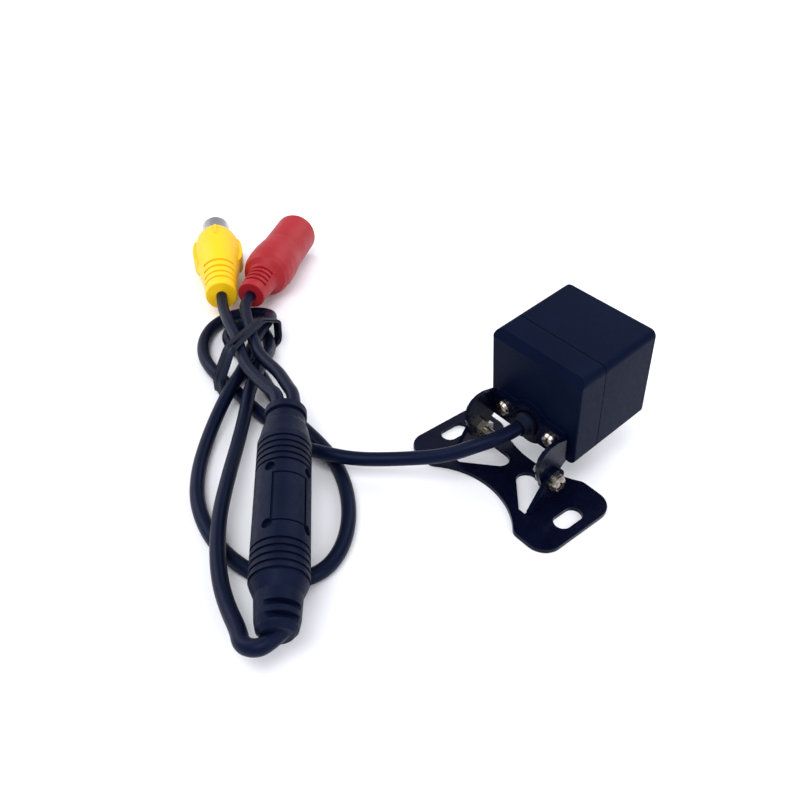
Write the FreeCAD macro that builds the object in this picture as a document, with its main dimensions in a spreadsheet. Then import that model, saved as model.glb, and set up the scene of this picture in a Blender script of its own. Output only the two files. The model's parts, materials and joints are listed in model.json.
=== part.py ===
"""Backup camera with a tilting bracket, an in-line moulded filter and its two plug leads.

Frame, in millimetres: +Z is up. The base plate's underside lies in Z = 0 and the middle of the
plate, half way between its two slots, is the origin. X runs along the plate, the lens looks
towards -Y and the cord leaves towards +Y.
"""
import FreeCAD, Part
import math
import os
import Sketcher
from FreeCAD import Placement, Rotation, Vector

SIZES = [
    # camera case
    ("case_width", 24.6, "across the lens"),
    ("case_height", 24.0, "bottom to top"),
    ("case_depth", 23.4, "front face to back face"),
    ("case_rise", 12.4, "pivot axis to the middle of the case"),
    ("case_back", 5.6, "pivot axis to the back face"),
    ("rear_depth", 7.2, "rear cover, front to back"),
    ("seam_gap", 0.18, "rubber seal between the two halves"),
    ("case_wall", 1.6, "wall of both halves"),
    ("case_corner", 1.7, "rounding of the long edges"),
    ("case_edge", 0.8, "rounding of the end faces"),
    ("bevel_depth", 1.5, "top back bevel, along the case"),
    ("bevel_drop", 2.0, "top back bevel, down the back face"),
    ("lens_bore", 6.5, "radius of the lens opening"),
    ("bezel_radius", 8.4, "outside of the bezel ring"),
    ("boss_thick", 0.6, "raised pad under the yoke"),
    ("boss_margin", 0.35, "pad outside the yoke's outline"),
    # yoke
    ("sheet", 1.0, "thickness of both brackets"),
    ("yoke_half", 11.0, "middle to the outside of an arm"),
    ("web_low", 1.8, "web's lower edge above the pivot"),
    ("web_top", 8.5, "web's upper edge above the pivot"),
    ("web_disc", 5.0, "radius of the web's round middle"),
    ("disc_rise", 5.5, "centre of the round middle above the pivot"),
    ("arm_eye", 2.9, "radius of the arm's lower end"),
    ("screw_span", 6.85, "middle to a web screw"),
    ("screw_rise", 5.8, "web screw above the pivot"),
    ("gland_rise", 6.0, "cord entry above the pivot"),
    # base plate
    ("plate_half", 21.7, "half the plate's length"),
    ("plate_near", 11.9, "middle to the plate's cord side edge"),
    ("plate_far", 11.0, "middle to the plate's lens side edge"),
    ("plate_corner", 4.5, "plate corner radius"),
    ("waist_near", 6.2, "waist edge on the cord side"),
    ("waist_far", 7.0, "waist edge on the lens side"),
    ("arc_near", 17.4, "radius of the cord side waist"),
    ("arc_far", 21.5, "radius of the lens side waist"),
    ("slot_x", 17.6, "middle to a slot"),
    ("slot_radius", 1.95, "slot end radius"),
    ("slot_length", 7.5, "slot from end to end"),
    ("ear_gap", 0.05, "running gap between ear and arm"),
    ("ear_back", 5.9, "ear's cord side foot"),
    ("ear_front", 3.9, "ear's lens side foot"),
    ("tip_x", 4.6, "centre of the cut-out's round tip"),
    ("tip_y", 1.5, "centre of the cut-out's round tip, towards the lens"),
    ("tip_radius", 2.6, "radius of the cut-out's tip"),
    # pivot
    ("pivot_y", -0.6, "pivot axis along Y"),
    ("pivot_rise", 7.3, "pivot axis above the table"),
    ("tilt_angle", 8.0, "lens above the horizontal, degrees"),
    ("hole_radius", 1.1, "clearance hole"),
    ("shank_radius", 0.98, "M2 screw shank"),
    ("head_radius", 1.85, "M2 pan head"),
    ("head_thick", 1.3, "M2 pan head"),
    ("pivot_length", 6.0, "pivot screw under its head"),
    ("web_screw_length", 4.0, "web screw under its head"),
    ("washer_thick", 0.6, "spring washer"),
    ("washer_radius", 2.1, "spring washer outside"),
    ("nut_flat", 4.0, "M2 nut across flats"),
    ("nut_thick", 1.6, "M2 nut"),
    # cords
    ("cord_radius", 1.6, "camera cord"),
    ("lead_radius", 1.5, "video and power leads"),
    ("joint_reach", 10.0, "cord that turns with the case reaches this far from the pivot"),
    # in-line moulding
    ("module_length", 54.3, "end to end"),
    ("module_radius", 5.7, "body"),
    ("neck_radius", 4.3, "both ends"),
    ("module_bore", 4.3, "room for the board"),
    # plugs
    ("rca_length", 34.0, "yellow moulding"),
    ("shell_radius", 4.15, "phono socket's metal sleeve"),
    ("shell_proud", 6.0, "metal sleeve outside the moulding"),
    ("dc_length", 40.6, "red moulding"),
    ("dc_radius", 6.3, "red barrel"),
    ("dc_bore", 2.8, "power socket bore"),
    # cable tie
    ("tie_width", 2.2, "strap width"),
    ("tie_thick", 0.6, "strap thickness"),
]

doc = FreeCAD.newDocument("backup_camera")
sheet = doc.addObject("Spreadsheet::Sheet", "Sizes")
for row, (alias, number, meaning) in enumerate(SIZES, start=1):
    sheet.set(f"A{row}", alias)
    sheet.set(f"B{row}", str(number))
    sheet.set(f"C{row}", meaning)
    sheet.setAlias(f"B{row}", alias)
doc.recompute()

finished = []


def size(alias):
    """A driving dimension, read from the sheet."""
    return float(getattr(sheet, alias))


def cell(alias):
    """A driving dimension, as an expression refers to it."""
    return f"Sizes.{alias}"


# ---------------------------------------------------------------- shape helpers


def bind(item, **expressions):
    """Bind properties of an object to expressions."""
    for name, text in expressions.items():
        item.setExpression(name, str(text))
    return item


def box(name, width, depth, height, at):
    """A box with its lowest corner at three expressions."""
    item = doc.addObject("Part::Box", name)
    bind(item, Length=width, Width=depth, Height=height)
    for axis, text in zip("xyz", at):
        item.setExpression(f"Placement.Base.{axis}", str(text))
    return item


def rod(name, radius, length, at=(0, 0, 0), along="z"):
    """A cylinder from a point, along one axis."""
    item = doc.addObject("Part::Cylinder", name)
    bind(item, Radius=radius, Height=length)
    turns = {
        "z": Rotation(),
        "x": Rotation(Vector(0, 1, 0), 90),
        "y": Rotation(Vector(1, 0, 0), -90),
    }
    item.Placement = Placement(Vector(), turns[along])
    for axis, text in zip("xyz", at):
        item.setExpression(f"Placement.Base.{axis}", str(text))
    return item


def fuse(name, pieces):
    item = doc.addObject("Part::MultiFuse", name)
    item.Shapes = pieces
    return item


def cut(name, base, tool):
    item = doc.addObject("Part::Cut", name)
    item.Base = base
    item.Tool = tool
    return item


def common(name, first, second):
    item = doc.addObject("Part::Common", name)
    item.Base = first
    item.Tool = second
    return item


def soften(name, base, radius, chosen, kind="Part::Fillet"):
    """Fillet or chamfer the edges for which chosen(edge) is true."""
    doc.recompute()
    item = doc.addObject(kind, name)
    item.Base = base
    first, second = radius if isinstance(radius, tuple) else (radius, radius)
    item.Edges = [
        (index, first, second)
        for index, edge in enumerate(base.Shape.Edges, start=1)
        if chosen(edge)
    ]
    return item


def runs_along(edge, axis):
    """True for a straight edge parallel to the axis."""
    if edge.Curve.TypeId != "Part::GeomLine":
        return False
    direction = edge.tangentAt(edge.FirstParameter)
    return abs(direction.dot(axis)) > 0.999


def middle(edge):
    return edge.valueAt((edge.FirstParameter + edge.LastParameter) / 2)


def origin_plane(body, role):
    for feature in body.Origin.OriginFeatures:
        if feature.Role == role:
            return feature
    raise ValueError(role)


def outline(body, role, corners, offset="0"):
    """A closed sketch of straight edges, each corner fixed by two expressions."""
    sketch = body.newObject("Sketcher::SketchObject", body.Name + "_outline")
    sketch.AttachmentSupport = [(origin_plane(body, role), "")]
    sketch.MapMode = "FlatFace"
    sketch.setExpression("AttachmentOffset.Base.z", str(offset))
    count = len(corners)
    ring = [
        Vector(10 * math.cos(math.tau * i / count), 10 * math.sin(math.tau * i / count), 0)
        for i in range(count)
    ]
    for i in range(count):
        sketch.addGeometry(Part.LineSegment(ring[i], ring[(i + 1) % count]), False)
    for i in range(count):
        sketch.addConstraint(Sketcher.Constraint("Coincident", i, 2, (i + 1) % count, 1))
    for i, (across, up) in enumerate(corners):
        for kind, text, start in (("DistanceX", across, ring[i].x), ("DistanceY", up, ring[i].y)):
            number = sketch.addConstraint(Sketcher.Constraint(kind, -1, 1, i, 1, start))
            sketch.setExpression(f"Constraints[{number}]", str(text))
    return sketch


def prism(name, role, corners, length, offset="0"):
    """A padded outline. XY pads to +Z, XZ pads to -Y and YZ pads to +X."""
    body = doc.addObject("PartDesign::Body", name)
    sketch = outline(body, role, corners, offset)
    pad = body.newObject("PartDesign::Pad", name + "_pad")
    pad.Profile = sketch
    pad.setExpression("Length", str(length))
    return body


def lathe(name, profile):
    """A profile of (radius, height) corners turned about Z."""
    body = doc.addObject("PartDesign::Body", name)
    sketch = outline(body, "XZ_Plane", profile)
    turned = body.newObject("PartDesign::Revolution", name + "_turned")
    turned.Profile = sketch
    turned.ReferenceAxis = (sketch, ["V_Axis"])
    turned.Angle = 360
    return body


def ring(name, outer, inner, thick, at, along):
    """A flat ring."""
    solid = rod(name + "_solid", outer, thick, at, along)
    bore = rod(name + "_bore", inner, thick, at, along)
    return cut(name + "_ring", solid, bore)


def finish(label, item, placement=None):
    """Name a sub-part, put it in its place and keep it for export."""
    if placement is not None:
        holder = doc.addObject("Part::Compound", label + "_placed")
        holder.Links = [item]
        holder.Placement = placement
        item = holder
    item.Label = label
    finished.append(item)
    return item


# ---------------------------------------------------------------- places

CASE = Placement(
    Vector(0, size("pivot_y"), size("pivot_rise")),
    Rotation(Vector(1, 0, 0), -size("tilt_angle")),
)
PIVOT = Placement(Vector(0, size("pivot_y"), size("pivot_rise")), Rotation())
MODULE_TOP = Vector(35.9, 34.9, 13.0)
MODULE_TAIL = Vector(-8.1, 66.4, 8.3)
RCA_NEAR = Vector(94.0, 17.8, 7.3)
RCA_FAR = Vector(130.0, -1.1, 7.3)
DC_NEAR = Vector(88.7, 11.7, 7.8)
DC_FAR = Vector(115.1, -22.4, 6.5)


def aim(start, end, twist=0.0):
    """A placement whose Z runs from start towards end, with X upwards."""
    run = end - start
    heading = math.degrees(math.atan2(run.y, run.x))
    dip = math.degrees(math.atan2(-run.z, math.hypot(run.x, run.y)))
    turn = Rotation(Vector(0, 0, 1), heading)
    turn = turn.multiply(Rotation(Vector(0, 1, 0), 90 + dip))
    turn = turn.multiply(Rotation(Vector(0, 0, 1), 180 + twist))
    return Placement(start, turn)


MODULE = aim(MODULE_TOP, MODULE_TAIL, -20)
RCA = aim(RCA_NEAR, RCA_FAR)
DC = aim(DC_NEAR, DC_FAR)

# ---------------------------------------------------------------- camera case

CASE_LOW = f"{cell('case_rise')} - {cell('case_height')} / 2"
CASE_SIDE = f"-{cell('case_width')} / 2"
CASE_FRONT = f"-{cell('case_back')} - {cell('case_depth')}"
REAR_FRONT = f"-{cell('case_back')} - {cell('rear_depth')}"
ALONG_Y = Vector(0, 1, 0)
ALONG_Z = Vector(0, 0, 1)


def case_room(name, start, depth):
    """The hollow inside the case walls."""
    return box(
        name,
        f"{cell('case_width')} - 2 * {cell('case_wall')}",
        depth,
        f"{cell('case_height')} - 2 * {cell('case_wall')}",
        (
            f"{CASE_SIDE} + {cell('case_wall')}",
            start,
            f"{CASE_LOW} + {cell('case_wall')}",
        ),
    )


def front_shell():
    depth = f"{cell('case_depth')} - {cell('rear_depth')} - {cell('seam_gap')}"
    block = box(
        "front_block", cell("case_width"), depth, cell("case_height"),
        (CASE_SIDE, CASE_FRONT, CASE_LOW),
    )
    long_edges = soften(
        "front_long", block, size("case_corner"), lambda e: runs_along(e, ALONG_Y)
    )
    face = -size("case_back") - size("case_depth")
    rounded = soften(
        "front_rounded", long_edges, size("case_edge"), lambda e: abs(middle(e).y - face) < 0.01
    )
    room = case_room(
        "front_room", f"{CASE_FRONT} + {cell('case_wall')}", f"{depth} - {cell('case_wall')}"
    )
    bore = rod(
        "lens_opening", cell("lens_bore"), f"{cell('case_wall')} + 1",
        (0, f"{CASE_FRONT} - 0.5", cell("case_rise")), "y",
    )
    recess = rod(
        "bezel_recess", f"{cell('bezel_radius')} + 0.05", 1.1,
        (0, f"{CASE_FRONT} - 0.5", cell("case_rise")), "y",
    )
    hollow = fuse("front_hollow", [room, bore, recess])
    return finish("front_shell", cut("front_shell_cut", rounded, hollow), CASE)


def rear_cover():
    block = box(
        "rear_block", cell("case_width"), cell("rear_depth"), cell("case_height"),
        (CASE_SIDE, REAR_FRONT, CASE_LOW),
    )
    long_edges = soften(
        "rear_long", block, size("case_corner"), lambda e: runs_along(e, ALONG_Y)
    )
    back = -size("case_back")
    softened = soften(
        "rear_softened", long_edges, size("case_edge") / 2,
        lambda e: abs(middle(e).y - back) < 0.01,
    )
    top = f"{cell('case_rise')} + {cell('case_height')} / 2"
    wedge = prism(
        "rear_wedge", "YZ_Plane",
        [
            (f"-{cell('case_back')}", f"{top} - {cell('bevel_drop')}"),
            (f"-{cell('case_back')} + 1", f"{top} - {cell('bevel_drop')}"),
            (f"-{cell('case_back')} + 1", f"{top} + 1"),
            (f"-{cell('case_back')} - {cell('bevel_depth')}", f"{top} + 1"),
            (f"-{cell('case_back')} - {cell('bevel_depth')}", top),
        ],
        f"{cell('case_width')} + 2", f"{CASE_SIDE} - 1",
    )
    rounded = cut("rear_bevelled", softened, wedge)
    pad = prism(
        "rear_pad", "XZ_Plane",
        [
            ("-9.4", f"{cell('web_low')} - {cell('boss_margin')}"),
            ("9.4", f"{cell('web_low')} - {cell('boss_margin')}"),
            ("9.4", f"{cell('web_top')} + {cell('boss_margin')}"),
            ("-9.4", f"{cell('web_top')} + {cell('boss_margin')}"),
        ],
        f"{cell('boss_thick')} + 0.2",
        f"{cell('case_back')} - {cell('boss_thick')}",
    )
    disc = rod(
        "rear_disc", f"{cell('web_disc')} + {cell('boss_margin')}", f"{cell('boss_thick')} + 0.2",
        (0, f"-{cell('case_back')} - 0.2", cell("disc_rise")), "y",
    )
    posts = [
        rod(
            f"rear_post_{side}", 2.2, f"{cell('case_wall')} + 1.2",
            (f"{sign} * {cell('screw_span')}", f"-{cell('case_back')} - {cell('case_wall')} - 1.2",
             cell("screw_rise")), "y",
        )
        for side, sign in (("left", 1), ("right", -1))
    ]
    room = case_room(
        "rear_room", REAR_FRONT, f"{cell('rear_depth')} - {cell('case_wall')}"
    )
    hollow = cut("rear_hollow", rounded, room)
    solid = fuse("rear_solid", [hollow, pad, disc] + posts)
    holes = [
        rod(
            f"rear_hole_{side}", 1.03, 5,
            (f"{sign} * {cell('screw_span')}", f"-{cell('case_back')} - 4", cell("screw_rise")),
            "y",
        )
        for side, sign in (("left", 1), ("right", -1))
    ]
    entry = rod("rear_entry", 2.6, 6, (0, f"-{cell('case_back')} - 4", cell("gland_rise")), "y")
    return finish("rear_cover", cut("rear_cover_cut", solid, fuse("rear_holes", holes + [entry])), CASE)


def case_seal():
    start = f"{REAR_FRONT} - {cell('seam_gap')}"
    block = box(
        "seal_block", f"{cell('case_width')} - 0.7", cell("seam_gap"),
        f"{cell('case_height')} - 0.7",
        (f"{CASE_SIDE} + 0.35", start, f"{CASE_LOW} + 0.35"),
    )
    rounded = soften("seal_rounded", block, 1.4, lambda e: runs_along(e, ALONG_Y))
    return finish(
        "case_seal", cut("seal_cut", rounded, case_room("seal_room", start, cell("seam_gap"))), CASE,
    )


def turned_along_lens(label, profile):
    """A piece turned about the lens axis; heights count backwards from the front face."""
    place = Placement(
        Vector(0, -size("case_back") - size("case_depth"), size("case_rise")),
        Rotation(Vector(1, 0, 0), -90),
    )
    return finish(label, lathe(label + "_body", profile), CASE.multiply(place))


def lens_parts():
    turned_along_lens(
        "front_bezel",
        [(6.2, 0.6), (cell("bezel_radius"), 0.6), (cell("bezel_radius"), -0.3),
         (f"{cell('bezel_radius')} - 0.6", -0.9), (7.0, -0.9), (6.2, -0.1)],
    )
    turned_along_lens("cover_glass", [(0, 0.65), (6.4, 0.65), (6.4, 1.6), (0, 1.6)])
    turned_along_lens(
        "glass_seal", [(5.2, 1.65), (6.2, 1.65), (6.2, 2.35), (5.2, 2.35)]
    )
    turned_along_lens(
        "lens_barrel",
        [(5.0, 2.4), (6.3, 2.4), (6.3, 4.2), (5.85, 4.4), (5.85, 12.2), (2.6, 12.2), (2.6, 11.4),
         (4.0, 11.4), (4.0, 5.2), (5.0, 4.6)],
    )
    turned_along_lens(
        "lens_front_element",
        [(0, 2.5), (2.0, 2.7), (3.5, 3.2), (4.6, 3.9), (4.9, 4.3), (3.9, 4.9), (0, 4.9)],
    )
    turned_along_lens(
        "lens_rear_element",
        [(0, 7.3), (2.2, 7.6), (3.9, 8.4), (3.9, 9.3), (2.2, 10.0), (0, 10.3)],
    )


def electronics():
    """The lens holder, the two boards and what is on them, counted along the case."""
    rise = cell("case_rise")
    base = box("holder_base", 14, 3.1, 14, (-7, -16.5, f"{rise} - 7"))
    tube = rod("holder_tube", 7.0, 5.9, (0, -22.4, rise), "y")
    bore = rod("holder_bore", 5.9, 5.9, (0, -22.4, rise), "y")
    window = rod("holder_window", 2.6, 2, (0, -17.5, rise), "y")
    pocket = box("holder_pocket", 8, 2.4, 8, (-4, -15.8, f"{rise} - 4"))
    holder = cut(
        "holder_cut", fuse("holder_solid", [base, tube]),
        fuse("holder_hollow", [bore, window, pocket]),
    )
    finish("lens_holder", holder, CASE)
    flat = [
        ("ir_filter", 6.6, 0.5, 6.6, 0, -15.75, 0),
        ("image_sensor", 6.6, 0.9, 6.0, 0, -14.3, 0),
        ("sensor_board", 19.0, 1.0, 19.0, 0, -13.35, 0),
        ("board_connector", 9.0, 1.85, 2.4, 0, -12.3, 7.5),
        ("power_board", 19.0, 1.0, 19.0, 0, -10.4, 0),
        ("processor_chip", 6.0, 0.9, 6.0, -4.0, -11.35, -1.5),
        ("power_inductor", 4.0, 1.6, 4.0, 5.0, -12.05, -2.0),
        ("wire_socket", 6.0, 1.8, 3.0, 0, -9.35, 3.2),
    ]
    for label, width, depth, height, x, y, up in flat:
        item = box(
            label + "_box", width, depth, height,
            (x - width / 2, y, f"{rise} + {up} - {height} / 2"),
        )
        finish(label, item, CASE)


def cable_gland():
    profile = [
        (1.65, -9.0 + 1.3), (3.3, -9.0 + 1.3), (3.3, -7.25), (2.55, -7.25), (2.55, -3.9),
        (2.75, -3.9), (2.75, -3.3), (2.4, -2.9), (2.15, -1.5), (1.65, -1.5),
    ]
    place = Placement(Vector(0, 0, size("gland_rise")), Rotation(Vector(1, 0, 0), -90))
    finish("cable_gland", lathe("gland_body", profile), CASE.multiply(place))


# ---------------------------------------------------------------- yoke

WEB_FACE = "-4.0"


def arm(name, sign):
    """One arm of the yoke: a broad cheek that narrows to an eye on the pivot."""
    inner = f"{cell('yoke_half')} - {cell('sheet')}"
    start = inner if sign > 0 else f"-{cell('yoke_half')}"
    eye = cell("arm_eye")
    cheek = prism(
        name + "_cheek", "YZ_Plane",
        [
            ("-5.0", cell("web_low")), ("-3.9", cell("web_low")), ("-2.9", "0.9"),
            (f"-{eye}", "0"), (eye, "0"), ("3.5", "2.2"), ("4.0", "4.4"), ("4.1", "6.4"),
            ("3.5", "8.2"), ("2.3", "9.3"), ("0.6", "9.9"), ("-1.4", "9.8"), ("-3.4", "9.1"),
            ("-5.0", cell("web_top")),
        ],
        cell("sheet"), start,
    )
    ring_part = rod(name + "_eye", eye, cell("sheet"), (start, 0, 0), "x")
    return [cheek, ring_part]


def yoke_bracket():
    web = prism(
        "yoke_web", "XZ_Plane",
        [
            (f"-{cell('yoke_half')}", cell("web_low")), (cell("yoke_half"), cell("web_low")),
            (cell("yoke_half"), cell("web_top")), (f"-{cell('yoke_half')}", cell("web_top")),
        ],
        cell("sheet"), "4.0",
    )
    disc = rod(
        "yoke_disc", cell("web_disc"), cell("sheet"), (0, "-5.0", cell("disc_rise")), "y"
    )
    solid = fuse("yoke_solid", [web, disc] + arm("arm_left", 1) + arm("arm_right", -1))
    solid.Refine = True
    half = size("yoke_half")
    bent = soften(
        "yoke_bent", solid, 0.9,
        lambda e: runs_along(e, ALONG_Z)
        and abs(abs(middle(e).x) - half) < 0.01
        and abs(middle(e).y + 5.0) < 0.01,
    )
    holes = [
        rod("yoke_entry", 3.1, 3, (0, -6, cell("gland_rise")), "y"),
        rod("yoke_pivot", cell("hole_radius"), 30, (-15, 0, 0), "x"),
    ]
    for side, sign in (("left", 1), ("right", -1)):
        holes.append(
            rod(
                f"yoke_hole_{side}", 1.1, 3, (f"{sign} * {cell('screw_span')}", -6, cell("screw_rise")), "y",
            )
        )
    finish("yoke_bracket", cut("yoke_cut", bent, fuse("yoke_holes", holes)), CASE)


# ---------------------------------------------------------------- screws, washers and nuts


def pan_screw(label, length, place):
    """A cross-head pan screw with its seat at Z = 0 and its head above."""
    head = lathe(
        label + "_head",
        [
            (0, 0), (cell("head_radius"), 0), (cell("head_radius"), 0.5),
            (f"{cell('head_radius')} - 0.35", 1.1), (0.9, cell("head_thick")),
            (0, cell("head_thick")),
        ],
    )
    shank = rod(label + "_shank", cell("shank_radius"), f"{cell(length)} + 0.1", (0, 0, f"-{cell(length)}"))
    cross = [
        box(label + "_cross_x", 2.6, 0.55, 1, (-1.3, -0.275, 0.6)),
        box(label + "_cross_y", 0.55, 2.6, 1, (-0.275, -1.3, 0.6)),
    ]
    solid = fuse(label + "_solid", [head, shank])
    finish(label, cut(label + "_cut", solid, fuse(label + "_recess", cross)), place)


def web_screws():
    for side, sign in (("left", 1), ("right", -1)):
        seat = Placement(
            Vector(sign * size("screw_span"), float(WEB_FACE) + 0.02, size("screw_rise")),
            Rotation(Vector(1, 0, 0), -90),
        )
        pan_screw(f"bracket_screw_{side}", "web_screw_length", CASE.multiply(seat))


def pivot_hardware():
    """Screw, spring washer and nut on each side of the pivot."""
    ear_outer = size("yoke_half") + size("ear_gap") + size("sheet")
    washer_at = ear_outer + 0.03
    seat_at = washer_at + size("washer_thick") + 0.03
    nut_at = size("yoke_half") - size("sheet") - 0.05
    for side, turn in (("left", 90), ("right", -90)):
        outward = PIVOT.multiply(Placement(Vector(), Rotation(Vector(0, 1, 0), turn)))
        seat = outward.multiply(Placement(Vector(0, 0, seat_at), Rotation(Vector(0, 0, 1), 20)))
        pan_screw(f"pivot_screw_{side}", "pivot_length", seat)
        washer = ring(
            f"washer_{side}", cell("washer_radius"), cell("hole_radius"), cell("washer_thick"),
            (0, 0, 0), "z",
        )
        gap = box(f"washer_gap_{side}", 3, 0.4, 2, (0, -0.2, -0.5))
        split = cut(f"washer_split_{side}", washer, gap)
        finish(
            f"spring_washer_{side}", split,
            outward.multiply(Placement(Vector(0, 0, washer_at), Rotation(Vector(0, 0, 1), 60))),
        )
        nut = doc.addObject("Part::Prism", f"nut_{side}")
        nut.Polygon = 6
        bind(nut, Circumradius=f"{cell('nut_flat')} / 2 / cos(30)", Height=cell("nut_thick"))
        bore = rod(f"nut_bore_{side}", 1.0, cell("nut_thick"))
        hex_nut = cut(f"nut_cut_{side}", nut, bore)
        finish(
            f"pivot_nut_{side}", hex_nut,
            outward.multiply(Placement(Vector(0, 0, nut_at - size("nut_thick")), Rotation())),
        )


# ---------------------------------------------------------------- base plate


def base_bracket():
    """A butterfly plate with two ears bent up out of it."""
    plate = box(
        "plate_block", f"2 * {cell('plate_half')}", f"{cell('plate_near')} + {cell('plate_far')}",
        cell("sheet"),
        (f"-{cell('plate_half')}", f"-{cell('plate_far')}", 0),
    )
    cornered = soften("plate_cornered", plate, size("plate_corner"), lambda e: runs_along(e, ALONG_Z))
    near = rod("waist_near_cut", cell("arc_near"), 3, (0, f"{cell('waist_near')} + {cell('arc_near')}", -1))
    far = rod("waist_far_cut", cell("arc_far"), 3, (0, f"-{cell('waist_far')} - {cell('arc_far')}", -1))
    waisted = cut("plate_waisted", cornered, fuse("waist_cuts", [near, far]))
    half = size("plate_half") - 2 * size("plate_corner")
    smooth = soften(
        "plate_smooth", waisted, 2.5,
        lambda e: runs_along(e, ALONG_Z) and abs(middle(e).x) < half + 1,
    )
    bend = f"{cell('yoke_half')} + {cell('ear_gap')}"
    ears = []
    for side, sign in (("left", 1), ("right", -1)):
        start = bend if sign > 0 else f"-({bend}) - {cell('sheet')}"
        ears.append(
            prism(
                f"ear_{side}", "YZ_Plane",
                [
                    (f"-{cell('ear_front')}", 0), (cell("ear_back"), 0), (cell("ear_back"), 1.6),
                    (f"{cell('pivot_y')} + 2.5", f"{cell('pivot_rise')} + 1.47"),
                    (cell("pivot_y"), cell("pivot_rise")),
                    (f"{cell('pivot_y')} - {cell('arm_eye')}", cell("pivot_rise")),
                ],
                cell("sheet"), start,
            )
        )
        ears.append(
            rod(
                f"ear_eye_{side}", cell("arm_eye"), cell("sheet"),
                (start, cell("pivot_y"), cell("pivot_rise")), "x",
            )
        )
    tools = [rod("ear_holes", cell("hole_radius"), 40, (-20, cell("pivot_y"), cell("pivot_rise")), "x")]
    for side, sign in (("left", 1), ("right", -1)):
        tools.append(
            prism(
                f"cutout_{side}", "XY_Plane",
                [
                    (f"{sign} * {cell('tip_x')}", f"-{cell('tip_y')} - {cell('tip_radius')}"),
                    (f"{sign} * ({bend})", f"-{cell('tip_y')} - {cell('tip_radius')}"),
                    (f"{sign} * ({bend})", 6.4), (f"{sign} * 9.3", 6.4),
                    (f"{sign} * ({cell('tip_x')} - 0.685 * {cell('tip_radius')})",
                     f"-{cell('tip_y')} + 0.728 * {cell('tip_radius')}"),
                    (f"{sign} * {cell('tip_x')}", f"-{cell('tip_y')}"),
                ],
                3, -1,
            )
        )
        tools.append(
            rod(f"cutout_tip_{side}", cell("tip_radius"), 3,
                (f"{sign} * {cell('tip_x')}", f"-{cell('tip_y')}", -1)),
        )
        for end in (-1, 1):
            tools.append(
                rod(
                    f"slot_end_{side}_{end + 1}", cell("slot_radius"), 3,
                    (f"{sign} * {cell('slot_x')}",
                     f"{end} * ({cell('slot_length')} / 2 - {cell('slot_radius')})", -1),
                )
            )
        tools.append(
            box(
                f"slot_{side}", f"2 * {cell('slot_radius')}",
                f"{cell('slot_length')} - 2 * {cell('slot_radius')}", 3,
                (f"{sign} * {cell('slot_x')} - {cell('slot_radius')}",
                 f"{cell('slot_radius')} - {cell('slot_length')} / 2", -1),
            )
        )
    ready = cut("plate_cut", fuse("plate_eared", [smooth] + ears), fuse("plate_tools", tools))
    ready.Refine = True
    inner = size("yoke_half") + size("ear_gap")
    bent = soften(
        "plate_bent", ready, 0.9,
        lambda e: runs_along(e, ALONG_Y)
        and abs(abs(middle(e).x) - inner) < 0.01
        and abs(middle(e).z) < 0.01
        and e.Length > 5,
    )
    finish("base_bracket", bent)


# ---------------------------------------------------------------- in-line moulding


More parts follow.
